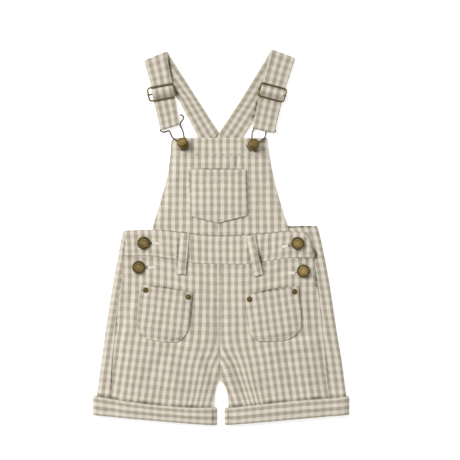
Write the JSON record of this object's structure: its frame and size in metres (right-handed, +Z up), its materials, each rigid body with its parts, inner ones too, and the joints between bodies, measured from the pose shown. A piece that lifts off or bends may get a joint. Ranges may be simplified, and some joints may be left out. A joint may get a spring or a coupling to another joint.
{
  "type": "gingham shortalls",
  "caption": "Child's gingham shortalls laid flat: bib with patch pocket, buttoned side tabs, patch hip pockets, turned-up cuffs, straps with sliders and wire hooks.",
  "frame": {"origin": "on the surface the garment lies on, under the middle of its outline", "axes": "+Y along the garment from cuffs to shoulders, +X to the viewer's right, +Z up off the surface through the back, then the front"},
  "size_m": [0.3198, 0.4694, 0.0156],
  "materials": {
    "gingham": "woven cotton, cream and taupe gingham check",
    "button_brass": "antique brass, satin, darkened in the grooves",
    "slider_metal": "antique brass wire, satin",
    "hook_wire": "dark bronzed wire, satin"
  },
  "bodies": {
    "root": {"front_bib": "gingham", "front_waistband": "gingham", "front_leg_left": "gingham", "front_leg_right": "gingham", "chest_pocket": "gingham", "hip_pocket_left": "gingham", "hip_pocket_right": "gingham", "belt_loop_left": "gingham", "belt_loop_right": "gingham", "back_bib": "gingham", "back_waistband": "gingham", "back_leg_left": "gingham", "back_leg_right": "gingham", "cuff_left": "gingham", "cuff_right": "gingham", "strap_left": "gingham", "strap_right": "gingham", "slider_left": "slider_metal", "slider_right": "slider_metal", "hook_left": "hook_wire", "hook_right": "hook_wire", "bib_button_left": "button_brass", "bib_button_right": "button_brass", "side_button_left_upper": "button_brass", "side_button_left_lower": "button_brass", "side_button_right_upper": "button_brass", "side_button_right_lower": "button_brass", "rivet_left_outer": "button_brass", "rivet_left_inner": "button_brass", "rivet_right_inner": "button_brass", "rivet_right_outer": "button_brass"}
  },
  "joints": []
}
